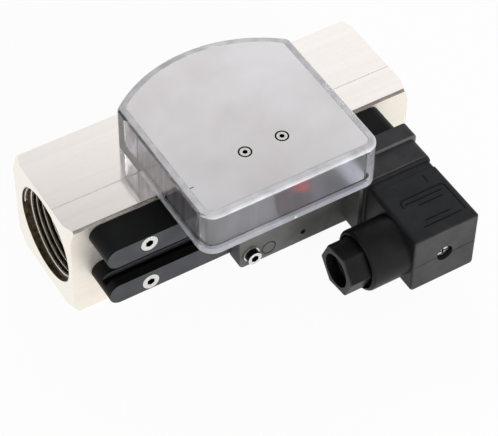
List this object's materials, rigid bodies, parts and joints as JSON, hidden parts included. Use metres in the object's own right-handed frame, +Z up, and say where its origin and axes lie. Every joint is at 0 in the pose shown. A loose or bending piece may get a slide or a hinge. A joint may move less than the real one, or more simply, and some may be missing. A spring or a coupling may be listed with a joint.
{
  "type": "variable area flow meter",
  "caption": "Square pipe body with female pipe threads, a sprung float inside, a magnet-driven pointer under a clear arc hood and a sliding switch with an angle plug.",
  "frame": {"origin": "centre of the pipe body's underside", "axes": "+X along the flow, from inlet to outlet; +Z up, towards the indicator hood; the rails and the switch are on the -Y side"},
  "size_m": [0.162, 0.1216, 0.0715],
  "materials": {
    "nickel": "nickel plated, satin with fine lengthwise lines",
    "clear": "clear, polished",
    "lid": "satin",
    "black": "moulded, satin",
    "carriage": "moulded, fine texture",
    "steel": "bright",
    "brass": "turned",
    "magnet": "sintered",
    "red": "moulded",
    "scale": "white enamel with black marks",
    "glass": "clear",
    "tin": "tinned",
    "rubber": "matt"
  },
  "bodies": {
    "meter": {"body": "nickel", "upper_rail": "black", "lower_rail": "black", "rail_screws": "steel", "hood": "clear", "cover_plate": "lid", "cover_screws": "steel", "cover_posts": "steel", "base_plate": "lid", "base_screws": "steel", "pivot_pin": "steel", "pivot_clip": "steel", "scale_strip": "scale", "orifice_ring": "brass", "inlet_cage": "brass", "outlet_guide": "brass", "guide_rod": "steel", "retaining_rings": "steel", "return_spring": "steel"},
    "float": {"float": "brass", "float_magnet": "magnet", "float_cap": "brass"},
    "pointer": {"pointer": "red", "pointer_magnet": "magnet", "pointer_weight": "magnet"},
    "carriage": {"switch_body": "carriage", "reed_switch": "glass", "reed_plug": "carriage", "pin_base": "carriage", "contact_pins": "tin", "plug_gasket": "rubber"},
    "clamp_screw": {"clamp_screw": "steel"},
    "plug": {"plug_housing": "black", "contact_block": "carriage", "block_screws": "steel", "gland_seal": "rubber", "gland_washer": "steel"},
    "plug_screw": {"plug_screw": "steel"},
    "gland_nut": {"gland_nut": "black"}
  },
  "joints": [
    {"name": "float_slide", "type": "slide", "parent": "meter", "child": "float", "axis": [1, 0, 0], "range_m": [0, 0.034], "stiffness_N_per_m": 80, "springref_m": -0.025, "deforming": ["return_spring"]},
    {"name": "pointer_turn", "type": "hinge", "parent": "meter", "child": "pointer", "pos_m": [0, -0.039, 0.056], "axis": [0, 0, -1], "range_deg": [0, 50]},
    {"name": "carriage_slide", "type": "slide", "parent": "meter", "child": "carriage", "axis": [1, 0, 0], "range_m": [-0.04, 0]},
    {"name": "clamp_screw_turn", "type": "hinge", "parent": "carriage", "child": "clamp_screw", "pos_m": [-0.0113, -0.05, 0.0215], "axis": [0, -1, 0], "range_deg": [0, 360]},
    {"name": "plug_pull", "type": "slide", "parent": "carriage", "child": "plug", "axis": [0, -1, 0], "range_m": [0, 0.03]},
    {"name": "plug_screw_turn", "type": "hinge", "parent": "plug", "child": "plug_screw", "pos_m": [0.0515, -0.09, 0.0321], "axis": [0, -1, 0], "continuous": true},
    {"name": "gland_nut_turn", "type": "hinge", "parent": "plug", "child": "gland_nut", "pos_m": [0.0085, -0.082, 0.0321], "axis": [-1, 0, 0], "range_deg": [0, 720]}
  ],
  "couplings": [
    {"joint": "pointer_turn", "follows": "float_slide", "rad_per_m": 25.66}
  ]
}
